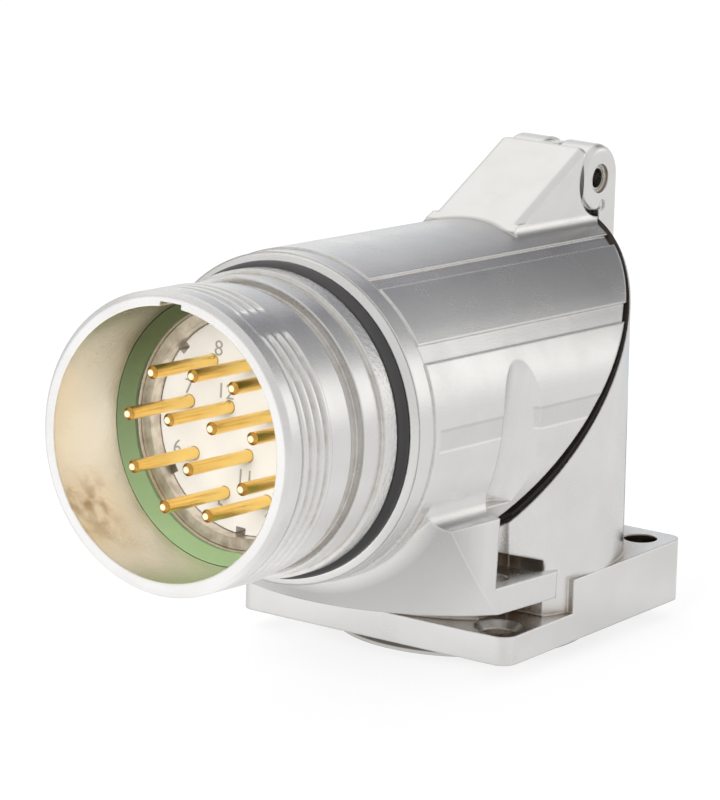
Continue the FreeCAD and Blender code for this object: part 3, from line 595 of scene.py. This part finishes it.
@dataclass(frozen=True)
class BarrelNickel(CastNickel):
    """The barrel's casting: warm with brown spots inside the mouth, painted shade in the upper bore,
    painted darker reflections and a painted highlight line outside, and one rough band outside.
    """

    name: str = "BarrelNickelCasting"
    mouth: Colour = (0.97, 0.92, 0.82, 1.0)
    # painted shade on the upper, inner wall of the bore
    upper_bore_shade: Colour = (0.50, 0.46, 0.35, 1.0)
    brown: Colour = (0.50, 0.34, 0.20, 1.0)
    # painted darker reflection on the outside of the barrel
    dark_reflection: Colour = (0.42, 0.42, 0.42, 1.0)
    # a smaller share of the painted shade in recessed places
    recess_shade_share: float = 0.22
    mouth_zone: Zone = (fall(Along.RADIUS, 10.42, 10.46), rise(Along.AHEAD, 30.2, 30.4))
    upper_bore_shade_zone: Zone = (fall(Along.AHEAD, 32.8, 38.5), rise(Along.ABOVE, 0.0, 6.0))
    brown_zone: Zone = (
        rise(Along.ABOVE, -9.5, -6.2),
        fall(Along.ABOVE, -6.2, -3.5),
        rise(Along.AHEAD, 34.5, 36.2, 0.85),
    )
    brown_size: float = 0.0016
    brown_span: Span = (0.42, 0.62)
    # painted darker reflection on the rear of the barrel's top
    rear_zone: Zone = (
        rise(Along.RADIUS, 12.4, 12.6),
        fall(Along.AHEAD, -4.0, 18.0, 0.75),
        rise(Along.ABOVE, 3.5, 6.5),
        fall(Along.RADIUS, 13.05, 13.2),
    )
    # painted darker reflection on the gusset
    gusset_zone: Zone = (
        rise(Along.RADIUS, 13.2, 14.2),
        fall(Along.ABOVE, -4.0, -2.0),
        rise(Along.AHEAD, 15.0, 20.5, 0.65),
    )
    side_zone: Zone = (rise(Along.RADIUS, 12.4, 12.6), fall(Along.AHEAD, 22.2, 22.6))
    # painted highlight line on the flat's lower edge, and painted dark reflection on its upper edge
    # and middle
    flat_lower_edge: Zone = (rise(Along.ABOVE, -0.98, -0.88, 0.9), fall(Along.ABOVE, -0.76, -0.66))
    flat_upper_edge: Zone = (rise(Along.ABOVE, 0.66, 0.76, 0.35), fall(Along.ABOVE, 0.88, 0.98))
    flat_middle: Zone = (rise(Along.ABOVE, -0.8, -0.7, 0.16), fall(Along.ABOVE, 0.7, 0.8))
    rough_band: Zone = (
        rise(Along.RADIUS, 11.5, 11.6),
        rise(Along.AHEAD, 26.45, 26.55),
        fall(Along.AHEAD, 28.0, 28.06),
    )
    pit_size: float = 0.0004
    band_pits: float = 3.5
    mouth_pits: float = 1.2

    def place_wear(self, finish: Finish, colour: object, height: Socket) -> Look:
        """Colour and grain by the distance from the barrel's axis and along it, with painted shade,
        painted darker reflections and a painted highlight line among the colours.

        Args:
            finish: the material being made.
            colour: the clean plating's colour.
            height: the grain's height.

        Returns:
            The sockets of the colour and of the height.
        """
        sheet = finish.sheet
        mouth = finish.zone(*self.mouth_zone)
        colour = sheet.mix(mouth, colour, self.mouth)
        # painted shade: darken the upper, inner part of the bore wall
        upper_bore_shade = sheet.product(finish.zone(*self.upper_bore_shade_zone), mouth)
        colour = sheet.mix(upper_bore_shade, colour, self.upper_bore_shade)
        spots = sheet.noise(finish.place, self.brown_size, detail=4.0)
        spots = sheet.span(spots, self.brown_span, (0.0, 1.0))
        stained = sheet.product(finish.zone(*self.brown_zone), spots, mouth)
        colour = sheet.mix(stained, colour, self.brown)
        # painted light outside: darker reflections on the rear, gusset and flat, and a highlight
        # line along the flat's lower edge
        for zone, tint in (
            (self.rear_zone, self.dark_reflection),
            (self.gusset_zone, self.dark_reflection),
            (self.side_zone + self.flat_lower_edge, self.wear_and_highlight),
            (self.side_zone + self.flat_upper_edge, self.dark_reflection),
            (self.side_zone + self.flat_middle, self.dark_reflection),
        ):
            colour = sheet.mix(finish.zone(*zone), colour, tint)
        pits = sheet.noise(finish.place, self.pit_size)
        band = sheet.product(pits, self.band_pits, finish.zone(*self.rough_band))
        streaks = sheet.product(pits, self.mouth_pits, mouth)
        return colour, sheet.math("ADD", height, sheet.math("ADD", band, streaks))


@dataclass(frozen=True)
class ColumnNickel(CastNickel):
    """The column's casting, with a painted shadow: a dark band round the spigot's neck under the
    flange.
    """

    name: str = "ColumnNickelCasting"
    # painted shadow: the dark band on the spigot's neck under the flange
    neck_shadow: Colour = (0.07, 0.07, 0.075, 1.0)
    neck_shadow_share: float = 0.95
    shadow_top: Span = (-0.0003, -0.00005)
    shadow_bottom: Span = (-0.00132, -0.00122)

    def place_wear(self, finish: Finish, colour: object, height: Socket) -> Look:
        """Paint the shadow under the flange: a dark band, by the height above the panel.

        Args:
            finish: the material being made.
            colour: the clean plating's colour.
            height: the grain's height.

        Returns:
            The sockets of the colour and of the height.
        """
        sheet = finish.sheet
        level = sheet.parts(finish.place)["Z"]
        below = sheet.span(level, self.shadow_top, (1.0, 0.0))
        over = sheet.span(level, self.shadow_bottom, (0.0, self.neck_shadow_share))
        return sheet.mix(sheet.product(below, over), colour, self.neck_shadow), height


@dataclass(frozen=True)
class GrainedFinish:
    """A finish of two colours in soft stains over a fine grain."""

    name: str
    colour: Colour
    second: Colour
    roughness: float
    rougher: Span
    rough_heights: Span
    grain: Grain
    stains: Stains
    depth: float
    edge: float
    edge_reach: float
    metallic: float = 0.0

    def make(self, effects: SharedEffects) -> Material:
        """Build the material.

        Args:
            effects: the shared node groups.

        Returns:
            The material.
        """
        finish = Finish(self.name, effects)
        sheet = finish.sheet
        height = finish.grain(self.grain)
        colour = self.accent(finish, finish.stained(self.stains, self.colour, self.second))
        target = (self.roughness + self.rougher[0], self.roughness + self.rougher[1])
        rough = sheet.span(height, self.rough_heights, target)
        edge_group = finish.group(effects.edge_wear_and_highlight, Radius=self.edge, Reach=self.edge_reach)
        normal = finish.bump(height, self.depth, edge_group.outputs["Normal"])
        surface = finish.surface
        surface.inputs["Metallic"].default_value = self.metallic
        sheet.put(surface, Base_Color=colour, Roughness=rough, Normal=normal)
        return finish.material

    def accent(self, finish: Finish, colour: Socket) -> Socket:
        """Colour by place; a plain finish has the same one everywhere."""
        return colour


@dataclass(frozen=True)
class PlainMetal(GrainedFinish):
    """A small turned or drawn metal piece."""

    rougher: Span = (-0.04, 0.08)
    rough_heights: Span = (0.4, 1.1)
    grain: Grain = Grain(0.0001, 0.0006, 0.8)
    stains: Stains = Stains(0.0012, 0.6, 0.3, 0.35)
    depth: float = 0.000003
    edge: float = 0.00007
    edge_reach: float = 0.1
    metallic: float = 1.0


@dataclass(frozen=True)
class ContactGold(PlainMetal):
    """Gold plating of the contacts, with painted shade on the chamfer and a painted highlight on the
    flat tip.
    """

    # painted shade on the chamfer
    chamfer_shade: Colour = (0.66, 0.33, 0.06, 1.0)
    # painted highlight on the flat tip
    pale: Colour = (1.0, 0.90, 0.62, 1.0)
    chamfer: Fade = rise(Along.AHEAD, 36.52, 36.58, 0.9)
    tip: Fade = rise(Along.AHEAD, 36.77, 36.79)

    def accent(self, finish: Finish, colour: Socket) -> Socket:
        """Paint shade on the chamfer and a highlight on the flat tip."""
        colour = finish.sheet.mix(finish.zone(self.chamfer), colour, self.chamfer_shade)
        return finish.sheet.mix(finish.zone(self.tip), colour, self.pale)


@dataclass(frozen=True)
class Elastomer(GrainedFinish):
    """Moulded rubber or soft seal material with a faint bloom, and painted shade that darkens it
    towards its top.
    """

    rougher: Span = (-0.05, 0.1)
    rough_heights: Span = (0.5, 1.2)
    grain: Grain = Grain(0.00009, 0.0008, 0.7)
    stains: Stains = Stains(0.0022, 0.5, 0.4, 0.5)
    depth: float = 0.000004
    edge: float = 0.0001
    edge_reach: float = 0.2
    # colour of the painted shade at the top
    high: Colour = shade(80, 84, 52)
    top_shade_share: float = 0.0
    top_shade_span: Span = (-9.0, 6.0)

    def accent(self, finish: Finish, colour: Socket) -> Socket:
        """Paint shade over the upper part, darker towards the top."""
        dim = finish.zone(rise(Along.ABOVE, *self.top_shade_span, self.top_shade_share))
        return finish.sheet.mix(dim, colour, self.high)


@dataclass(frozen=True)
class MouldedPlastic(GrainedFinish):
    """Engineering plastic with fine moulding texture."""

    roughness: float = 0.38
    rougher: Span = (0.0, 0.12)
    rough_heights: Span = (0.5, 1.2)
    grain: Grain = Grain(0.00007, 0.0009, 0.6)
    stains: Stains = Stains(0.003, 0.5, 0.4, 0.4)
    depth: float = 0.000003
    edge: float = 0.0001
    edge_reach: float = 0.2


class Finishes:
    """Every finish of the connector, made once and handed out by slot."""

    barrel_node = "upper_housing"

    def __init__(self) -> None:
        """Make the shared effects and all materials."""
        effects = SharedEffects()
        self.barrel = BarrelNickel().make(effects)
        self.thread = BarrelNickel(name="ThreadNickel", edge=0.00006).make(effects)
        # painted shade: the raised numbers are the insert's plastic, coloured grey for the shading
        # round their edges
        self.figures = MouldedPlastic(
            "InsertFigureShade", shade(176, 172, 165), shade(160, 154, 146)
        ).make(effects)
        finishes = {
            Slot.CASTING: ColumnNickel(),
            Slot.DARK_RUBBER: Elastomer("DarkGasket", shade(48, 40, 36), shade(66, 56, 50), 0.6),
            Slot.BLACK_RUBBER: Elastomer(
                "BlackRubber", shade(56, 54, 55), shade(68, 66, 67), 0.42
            ),
            # the green seal gets painted shade towards its top
            Slot.GREEN_RUBBER: Elastomer(
                "GreenSeal", shade(160, 190, 142), shade(176, 200, 156), 0.3, top_shade_share=0.75
            ),
            Slot.SLEEVE: PlainMetal(
                "NickelSleeve", (0.86, 0.79, 0.69, 1.0), (0.46, 0.38, 0.31, 1.0), 0.3,
                depth=0.00002, stains=Stains(0.0012, 0.6, 0.3, 0.8),
            ),
            Slot.INSERT: MouldedPlastic("InsertPlastic", shade(247, 245, 240), shade(238, 234, 226)),
            Slot.GOLD: ContactGold(
                "GoldPlating", (1.0, 0.70, 0.22, 1.0), (0.93, 0.58, 0.14, 1.0), 0.17
            ),
            Slot.SPRING: PlainMetal(
                "SpringSteel", (0.5, 0.49, 0.48, 1.0), (0.36, 0.35, 0.34, 1.0), 0.3
            ),
            Slot.PIN: PlainMetal(
                "HingePinSteel", (0.68, 0.66, 0.63, 1.0), (0.4, 0.37, 0.33, 1.0), 0.25
            ),
        }
        self.by_slot = {slot: finish.make(effects) for slot, finish in finishes.items()}

    def dress(self, nodes: dict[str, Object], record: dict) -> None:
        """Give each node of the frame the finish that the record names for it.

        Args:
            nodes: the frame's nodes by name.
            record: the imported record, which pairs nodes with slots.
        """
        for row in record["subparts"]:
            finish = self.by_slot[Slot(row["material_slot"])]
            if row["node"] == self.barrel_node:
                finish = self.barrel
            for place in nodes[row["node"]].material_slots:
                place.material = finish


def mesh_piece(
    name: str, points: list[Vector], faces: list[tuple[int, ...]], material: Material
) -> Object:
    """Make a smooth-shaded mesh object and show it.

    Args:
        name: the object's name.
        points: its points, in metres.
        faces: the points of each face, by number.
        material: its finish.

    Returns:
        The new object.
    """
    mesh = bpy.data.meshes.new(name)
    mesh.from_pydata([tuple(point) for point in points], [], faces)
    mesh.materials.append(material)
    form = bmesh.new()
    form.from_mesh(mesh)
    bmesh.ops.recalc_face_normals(form, faces=form.faces)
    for face in form.faces:
        face.smooth = True
    form.to_mesh(mesh)
    form.free()
    piece = bpy.data.objects.new(name, mesh)
    bpy.context.scene.collection.objects.link(piece)
    return piece


def ring_faces(around: int, rows: int) -> list[tuple[int, ...]]:
    """Faces of a ring whose points come column by column.

    Args:
        around: the number of columns.
        rows: the number of points in each column, which is a closed section.

    Returns:
        The points of each face, by number.
    """
    faces: list[tuple[int, ...]] = []
    for column in range(around):
        start, following = column * rows, (column + 1) % around * rows
        for row in range(rows):
            above = (row + 1) % rows
            faces.append((start + row, start + above, following + above, following + row))
    return faces


def smooth(share: float) -> float:
    """Ease a share of 0 to 1 at both ends."""
    return share * share * (3.0 - 2.0 * share)


@dataclass
class ShellThread:
    """Thread on the shell's end, cut into a round of crest size. Lengths in mm.

    The grooves fade out at the four narrow flats where the die's halves met.
    """

    crest: float = 11.5
    runout: float = 11.2
    runout_rise: float = 4.0
    inner: float = 10.9
    skin: float = 0.06
    pitch: float = 1.0
    depth: float = 0.5
    groove_half: float = 0.37
    groove_ease: float = 0.5
    back: float = -34.23
    front: float = -38.1
    fade_back: float = 0.5
    flats: tuple[float, ...] = (58.0, 122.0, -58.0, -122.0)
    flat_half: float = 5.0
    flat_fade: float = 7.0
    around: int = 420
    along: int = 96
    place: LidPlace = field(default_factory=LidPlace)

    def radius(self, angle: float, along: float) -> float:
        """Radius of the thread's surface.

        Args:
            angle: turn about the barrel's axis.
            along: distance behind the column axis, in millimetres.

        Returns:
            The radius in millimetres.
        """
        turns = (angle - self.flats[0]) / FULL_TURN
        phase = (along - self.front) / self.pitch + turns
        phase -= round(phase)
        groove = max(0.0, 1.0 - abs(phase) / self.groove_half)
        groove = smooth(groove) if groove < self.groove_ease else groove
        amount = 1.0
        for flat in self.flats:
            away = abs((angle - flat + FULL_TURN / 2) % FULL_TURN - FULL_TURN / 2)
            share = min(1.0, max(0.0, (away - self.flat_half) / self.flat_fade))
            amount *= smooth(share)
        start = min(1.0, max(0.0, (self.back - along) / self.fade_back))
        grown = min(1.0, self.runout_rise * start)
        level = self.runout + (self.crest - self.runout) * grown
        return max(level - self.depth * groove * amount * start, self.inner + self.skin)

    def build(self, material: Material) -> Object:
        """Make the thread as one closed ring of mesh that rides on the lid.

        Args:
            material: its finish.

        Returns:
            The new object.
        """
        points: list[Vector] = []
        for column in range(self.around):
            angle = FULL_TURN * column / self.around
            points.append(self.place.ring_point(self.inner, angle, self.back))
            for row in range(self.along):
                along = self.back + (self.front - self.back) * row / (self.along - 1)
                radius = self.radius(angle, along)
                points.append(self.place.ring_point(radius, angle, along))
            points.append(self.place.ring_point(self.inner, angle, self.front))
        faces = ring_faces(self.around, self.along + 2)
        piece = mesh_piece("shell_thread", points, faces, material)
        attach(piece, Body.LID.value)
        return piece


@dataclass
class CollarEdge:
    """Bright sloping edge between the collar's face and the O-ring. Lengths in mm.

    The section's points are a distance along the barrel and a radius.
    """

    section: tuple[Span, ...] = (
        (-24.96, 11.95), (-25.12, 11.95), (-25.42, 12.22), (-25.40, 12.27),
        (-25.30, 12.42), (-25.16, 12.60), (-25.03, 12.76), (-24.96, 12.86),
    )
    around: int = 300
    place: LidPlace = field(default_factory=LidPlace)

    def build(self, material: Material) -> Object:
        """Make the edge as a closed ring that rides on the lid.

        Args:
            material: its finish.

        Returns:
            The new object.
        """
        points = []
        for column in range(self.around):
            angle = FULL_TURN * column / self.around
            for along, radius in self.section:
                points.append(self.place.ring_point(radius, angle, along))
        faces = ring_faces(self.around, len(self.section))
        piece = mesh_piece("collar_edge", points, faces, material)
        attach(piece, Body.LID.value)
        return piece


@dataclass(frozen=True)
class Figure:
    """One contact's number: the contact's circle and angle, and the steps away from it."""

    word: str
    circle: float
    angle: float
    right: float
    up: float


@dataclass
class ContactFigures:
    """Raised numbers of the contacts on the insert's face. Lengths in mm."""

    height: float = 1.7
    raised: float = 0.04
    thinned: float = -0.012
    face: float = -29.05
    upright: float = 90.0
    figures: tuple[Figure, ...] = (
        Figure("1", 5.85, 50.0, 0.52, 1.0),
        Figure("2", 5.85, 10.0, 0.12, 1.07),
        Figure("3", 5.85, -30.0, 1.6, 0.1),
        Figure("4", 5.85, -70.0, 0.3, -1.1),
        Figure("5", 5.85, -110.0, -0.3, -1.1),
        Figure("6", 5.85, -150.0, -1.6, 0.15),
        Figure("7", 5.85, 170.0, -0.12, 1.07),
        Figure("8", 5.85, 130.0, 0.52, 0.97),
        Figure("9", 4.8, 90.0, 0.0, 1.15),
        Figure("10", 2.3, 30.0, 0.3, 1.1),
        Figure("11", 2.3, -90.0, -0.15, -1.75),
        Figure("12", 2.3, 150.0, -0.4, 1.1),
    )
    place: LidPlace = field(default_factory=LidPlace)

    def _outline(self, word: str) -> bpy.types.Mesh:
        """Make a number's mesh, lying flat about the origin.

        Args:
            word: the number.

        Returns:
            The mesh.
        """
        curve = bpy.data.curves.new("figure", "FONT")
        curve.body = word
        curve.size = self.height * MM
        curve.extrude = self.raised * MM
        curve.align_x = "CENTER"
        curve.align_y = "CENTER"
        curve.offset = self.thinned * MM
        text = bpy.data.objects.new("figure", curve)
        mesh = bpy.data.meshes.new_from_object(text)
        bpy.data.objects.remove(text)
        bpy.data.curves.remove(curve)
        return mesh

    def build(self, material: Material) -> list[Object]:
        """Make one thin mesh for each number, riding on the lid.

        Args:
            material: their finish.

        Returns:
            The new objects.
        """
        pieces = []
        stand = Matrix.Rotation(math.radians(self.upright - self.place.lift), 4, "X")
        for figure in self.figures:
            turn = math.radians(figure.angle)
            across = figure.circle * math.cos(turn) + figure.right
            height = self.place.axis_height + figure.circle * math.sin(turn) + figure.up
            corner = self.place.point(across, self.face, height)
            mesh = self._outline(figure.word)
            mesh.transform(Matrix.Translation(corner) @ stand)
            mesh.materials.clear()
            mesh.materials.append(material)
            piece = bpy.data.objects.new(f"contact_figure_{figure.word}", mesh)
            bpy.context.scene.collection.objects.link(piece)
            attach(piece, Body.LID.value)
            pieces.append(piece)
        return pieces


@dataclass
class EjectorMark:
    """Faint round mark that the die's ejector left on the side of an ear. Lengths in mm.

    The profile's points are a share of the radius and how far they stand proud.
    """

    ear_side: float = 4.15
    along: float = 12.44
    height: float = 31.75
    radius: float = 0.45
    profile: tuple[Span, ...] = (
        (0.0, 0.006), (0.6, 0.006), (0.75, 0.03), (0.9, 0.035), (1.0, 0.02), (1.1, -0.02)
    )
    around: int = 40

    def build(self, material: Material) -> Object:
        """Make the mark as a low turned rim that rides on the base.

        Args:
            material: its finish.

        Returns:
            The new object.
        """
        steps = range(self.around)
        points = [Vector((self.ear_side + self.profile[0][1], self.along, self.height)) * MM]
        for share, proud in self.profile[1:]:
            for step in steps:
                turn = 2.0 * math.pi * step / self.around
                along = self.along + self.radius * share * math.cos(turn)
                height = self.height + self.radius * share * math.sin(turn)
                points.append(Vector((self.ear_side + proud, along, height)) * MM)
        rings = len(self.profile) - 1
        faces: list[tuple[int, ...]] = []
        for step in steps:
            following = (step + 1) % self.around
            faces.append((0, 1 + step, 1 + following))
            for ring in range(rings - 1):
                low, high = 1 + ring * self.around, 1 + (ring + 1) * self.around
                faces.append((low + step, high + step, high + following, low + following))
        last = 1 + (rings - 1) * self.around
        faces.append(tuple(last + step for step in steps))
        piece = mesh_piece("ear_ejector_mark", points, faces, material)
        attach(piece, Body.BASE.value)
        return piece


def direction(azimuth: float, height: float) -> Vector:
    """A unit vector by its azimuth, with 0 towards -Y, and its height above the horizon."""
    turn, up = math.radians(azimuth), math.radians(height)
    flat = math.cos(up)
    return Vector((math.sin(turn) * flat, -math.cos(turn) * flat, math.sin(up)))


@dataclass
class PhotoCamera:
    """The camera where the photograph was taken from. Lengths in mm."""

    azimuth: float = 34.93
    elevation: float = 13.84
    roll: float = 1.56
    target: Triple = (-2.59, -11.63, 18.72)
    distance: float = 376.98
    focal_share: float = 5.962
    sensor: float = 36.0
    nearest: float = 10.0
    farthest: float = 20000.0

    def build(self) -> None:
        """Place the camera and make it the scene's own."""
        back = direction(self.azimuth, self.elevation)
        right = (-back).cross(Vector((0, 0, 1))).normalized()
        up = right.cross(-back)
        turn = math.radians(self.roll)
        tilted_right = math.cos(turn) * right + math.sin(turn) * up
        tilted_up = -math.sin(turn) * right + math.cos(turn) * up
        data = bpy.data.cameras.new("PhotoCamera")
        data.sensor_width = self.sensor
        data.lens = self.sensor * self.focal_share
        data.clip_start = self.nearest * MM
        data.clip_end = self.farthest * MM
        camera = bpy.data.objects.new("PhotoCamera", data)
        place = (Vector(self.target) + back * self.distance) * MM
        axes = Matrix((tilted_right, tilted_up, back)).transposed()
        camera.matrix_world = Matrix.Translation(place) @ axes.to_4x4()
        bpy.context.scene.collection.objects.link(camera)
        bpy.context.scene.camera = camera


@dataclass(frozen=True)
class Glow:
    """A soft round patch in the studio's walls: where it is, its size and what it adds."""

    azimuth: float
    height: float
    reach: float
    added: Triple


@dataclass
class StudioWalls:
    """Pale walls with bright panels and dim gaps for the metal, white to the camera."""

    level: Triple = (0.74, 0.74, 0.74)
    flat_share: float = 0.35
    glows: tuple[Glow, ...] = (
        Glow(148.0, 12.0, 15.0, (0.46, 0.45, 0.43)),
        Glow(172.0, 33.0, 23.0, (-0.37, -0.37, -0.36)),
        Glow(180.0, 42.0, 16.0, (-0.10, -0.10, -0.09)),
        Glow(-163.0, 30.0, 16.0, (-0.19, -0.19, -0.17)),
        Glow(-143.0, 2.0, 12.0, (0.24, 0.24, 0.24)),
        Glow(-115.0, 55.0, 34.0, (0.27, 0.26, 0.24)),
        Glow(-35.0, -2.0, 30.0, (0.14, 0.14, 0.13)),
        Glow(33.0, -14.0, 20.0, (-0.17, -0.17, -0.17)),
        Glow(160.0, -14.0, 18.0, (-0.08, -0.06, -0.03)),
        Glow(-150.0, 18.0, 12.0, (-0.05, -0.03, 0.0)),
    )

    def build(self) -> None:
        """Make the world and give it to the scene."""
        world = bpy.data.worlds.new("Studio")
        world.use_nodes = True
        bpy.context.scene.world = world
        sheet = NodeSheet(world.node_tree)
        lit = world.node_tree.nodes["Background"]
        out = world.node_tree.nodes["World Output"]
        towards = sheet.add("ShaderNodeTexCoord").outputs["Generated"]
        light: object = self.level
        for glow in self.glows:
            light = self._patch(sheet, towards, glow, light)
        sheet.put(lit, Color=light, Strength=1.0)
        white = sheet.add("ShaderNodeBackground")
        sheet.put(white, Color=(1.0, 1.0, 1.0, 1.0), Strength=1.0)
        path = sheet.add("ShaderNodeLightPath")
        blend = sheet.add("ShaderNodeMixShader")
        sheet.set_socket(blend.inputs[0], path.outputs["Is Camera Ray"])
        sheet.set_socket(blend.inputs[1], lit.outputs[0])
        sheet.set_socket(blend.inputs[2], white.outputs[0])
        sheet.put(out, Surface=blend.outputs[0])

    def _patch(self, sheet: NodeSheet, towards: Socket, glow: Glow, light: object) -> Socket:
        """Add one patch to the studio's light.

        Args:
            sheet: the world's node sheet.
            towards: the direction that is looked in.
            glow: the patch.
            light: the light so far.

        Returns:
            The socket with the light and the patch together.
        """
        dot = sheet.add("ShaderNodeVectorMath", operation="DOT_PRODUCT")
        sheet.set_socket(dot.inputs[0], towards)
        sheet.set_socket(dot.inputs[1], direction(glow.azimuth, glow.height))
        soft = sheet.add("ShaderNodeMapRange", clamp=True, interpolation_type="SMOOTHSTEP")
        edge = math.cos(math.radians(glow.reach))
        full = math.cos(math.radians(glow.reach * self.flat_share))
        sheet.put(soft, Value=dot.outputs["Value"], From_Min=edge, From_Max=full)
        added = sheet.add("ShaderNodeVectorMath", operation="MULTIPLY_ADD")
        for socket, value in zip(added.inputs, (soft.outputs["Result"], glow.added, light)):
            sheet.set_socket(socket, value)
        return added.outputs[0]


@dataclass
class PaleFloor:
    """A floor that is pale to the camera, keeps the soft shadow and is uneven in the metal."""

    level: float = -0.0016
    size: float = 4.0
    colour: Colour = (0.25, 0.25, 0.25, 1.0)
    camera_glow: float = 0.80
    mirror_glow: Span = (0.46, 0.64)
    cloud: float = 0.022
    cloud_span: Span = (0.3, 0.7)
    panel_glow: float = 0.32
    panel_front: Span = (-0.035, -0.012)
    panel_right: Span = (0.0, 0.022)
    cool: Colour = (0.86, 0.93, 1.0, 1.0)
    cool_front: Span = (0.02, 0.04)
    cool_right: Span = (-0.004, 0.004)

    def build(self) -> None:
        bpy.ops.mesh.primitive_plane_add(size=self.size, location=(0.0, 0.0, self.level))
        floor = bpy.context.object
        floor.name = "StudioFloor"
        material = bpy.data.materials.new("PaleFloor")
        material.use_nodes = True
        surface = material.node_tree.nodes["Principled BSDF"]
        surface.inputs["Base Color"].default_value = self.colour
        surface.inputs["Roughness"].default_value = 1.0
        surface.inputs["Specular IOR Level"].default_value = 0.0
        self._glow(NodeSheet(material.node_tree), surface)
        floor.data.materials.append(material)

    def _glow(self, sheet: NodeSheet, surface: Node) -> None:
        """Make the floor glow, each way for the camera and for what mirrors it.

        Args:
            sheet: the material's node sheet.
            surface: its surface shader.
        """
        path = sheet.add("ShaderNodeLightPath").outputs
        place = sheet.place()
        parts = sheet.parts(place)
        panel = sheet.product(
            sheet.span(parts["Y"], self.panel_front, (1.0, 0.0)),
            sheet.span(parts["X"], self.panel_right, (1.0, 0.0)),
            self.panel_glow,
        )
        cloud = sheet.noise(place, self.cloud, detail=1.0)
        level = sheet.math("ADD", panel, sheet.span(cloud, self.cloud_span, self.mirror_glow))
        seen = sheet.product(path["Is Camera Ray"], self.camera_glow)
        mirrored = sheet.product(path["Is Glossy Ray"], level)
        cool = sheet.product(
            sheet.span(parts["Y"], self.cool_front, (0.0, 1.0)),
            sheet.span(parts["X"], self.cool_right, (1.0, 0.0)),
            path["Is Glossy Ray"],
        )
        tint = sheet.mix(cool, (1.0, 1.0, 1.0, 1.0), self.cool)
        strength = sheet.math("ADD", seen, mirrored)
        sheet.put(surface, Emission_Color=tint, Emission_Strength=strength)


@dataclass(frozen=True)
class SoftLamp:
    """A square lamp that lights the part but isn't mirrored in it. Power in watts."""

    name: str
    place: Triple
    size: float
    power: float
    aim: Triple = (0.0, -0.012, 0.015)

    def build(self) -> None:
        """Make the lamp and turn it towards the part."""
        data = bpy.data.lights.new(self.name, "AREA")
        data.shape = "SQUARE"
        data.size = self.size
        data.energy = self.power
        lamp = bpy.data.objects.new(self.name, data)
        lamp.location = self.place
        aim = Vector(self.aim) - Vector(self.place)
        lamp.rotation_euler = aim.to_track_quat("-Z", "Y").to_euler()
        lamp.visible_glossy = False
        bpy.context.scene.collection.objects.link(lamp)


@dataclass
class Studio:
    """Camera, walls, floor and two lamps: one into the mouth and one high on the left."""

    lamps: tuple[SoftLamp, ...] = (
        SoftLamp("FrontLamp", (0.06, -0.68, 0.20), 0.35, 3.3),
        SoftLamp("HighLamp", (-0.30, -0.20, 0.60), 0.5, 0.9),
    )

    def build(self) -> None:
        """Make the whole studio."""
        scene = bpy.context.scene
        scene.view_settings.view_transform = "Standard"
        PhotoCamera().build()
        StudioWalls().build()
        PaleFloor().build()
        for lamp in self.lamps:
            lamp.build()


def corners(low_high: tuple[Vector, Vector]) -> list[list[float]]:
    """A box's two corners as plain lists."""
    return [list(corner) for corner in low_high]


def main() -> None:
    """Load the frame, dress it, add the fine pieces and set up the studio."""
    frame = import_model()
    finishes = Finishes()
    finishes.dress(frame["nodes"], frame["record"])
    pieces = [
        ShellThread().build(finishes.thread),
        CollarEdge().build(finishes.barrel),
        EjectorMark().build(finishes.by_slot[Slot.CASTING]),
        *ContactFigures().build(finishes.figures),
    ]
    for piece in pieces:
        LOG.info("made %s with %d faces", piece.name, len(piece.data.polygons))
    Studio().build()


if __name__ == "__main__":
    logging.basicConfig(level=logging.INFO)
    main()
